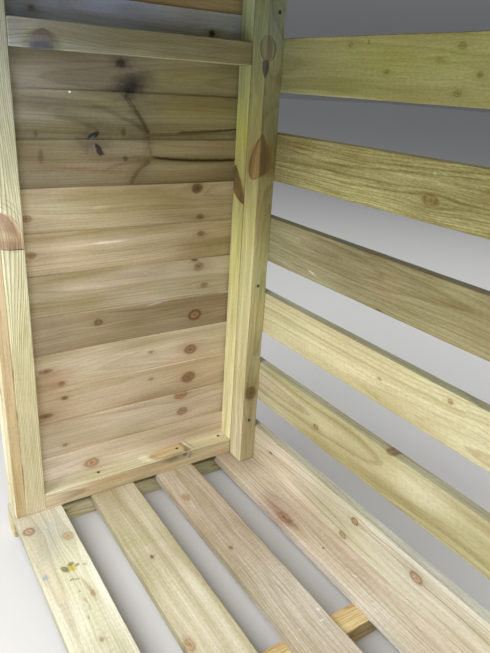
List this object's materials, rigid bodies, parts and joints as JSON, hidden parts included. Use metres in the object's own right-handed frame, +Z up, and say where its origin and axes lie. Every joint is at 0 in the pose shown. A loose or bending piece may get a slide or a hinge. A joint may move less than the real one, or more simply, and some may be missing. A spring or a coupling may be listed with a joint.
{
  "type": "open-fronted log store",
  "caption": "Small open-fronted store for split firewood: slatted floor on bearers, slatted back, lapped-board ends and a single-pitch roof.",
  "frame": {"origin": "on the ground, under the middle of the floor", "axes": "+X along the store to the right seen from the open front, +Y from the open front to the back, +Z up"},
  "size_m": [1.3, 0.7, 1.3162],
  "materials": {
    "bearer_wood": "sawn softwood, pressure treated, unpainted",
    "floor_wood": "sawn softwood, pressure treated, unpainted",
    "cladding_wood": "sawn softwood, pressure treated, unpainted",
    "roof_wood": "sawn softwood, pressure treated, unpainted",
    "back_slat_wood": "sawn softwood, pressure treated, unpainted",
    "trim_wood": "sawn softwood, pressure treated, unpainted",
    "frame_wood": "sawn softwood, pressure treated, unpainted"
  },
  "bodies": {
    "root": {"bearer_left": "bearer_wood", "bearer_middle": "bearer_wood", "bearer_right": "bearer_wood", "floor_slat_1": "floor_wood", "floor_slat_2": "floor_wood", "floor_slat_3": "floor_wood", "floor_slat_4": "floor_wood", "left_front_post": "frame_wood", "left_rear_post": "frame_wood", "left_bottom_rail": "frame_wood", "left_upper_rail": "frame_wood", "left_top_rail": "frame_wood", "left_cladding": "cladding_wood", "left_front_trim": "trim_wood", "right_front_post": "frame_wood", "right_rear_post": "frame_wood", "right_bottom_rail": "frame_wood", "right_upper_rail": "frame_wood", "right_top_rail": "frame_wood", "right_cladding": "cladding_wood", "right_front_trim": "trim_wood", "back_post_left": "frame_wood", "back_post_right": "frame_wood", "back_top_rail": "frame_wood", "back_slat_1": "back_slat_wood", "back_slat_2": "back_slat_wood", "back_slat_3": "back_slat_wood", "back_slat_4": "back_slat_wood", "back_slat_5": "back_slat_wood", "back_slat_6": "back_slat_wood", "front_header": "frame_wood", "roof_rafter": "frame_wood", "roof_boards": "roof_wood", "front_fascia": "trim_wood", "verge_board_left": "trim_wood", "verge_board_right": "trim_wood"}
  },
  "joints": []
}
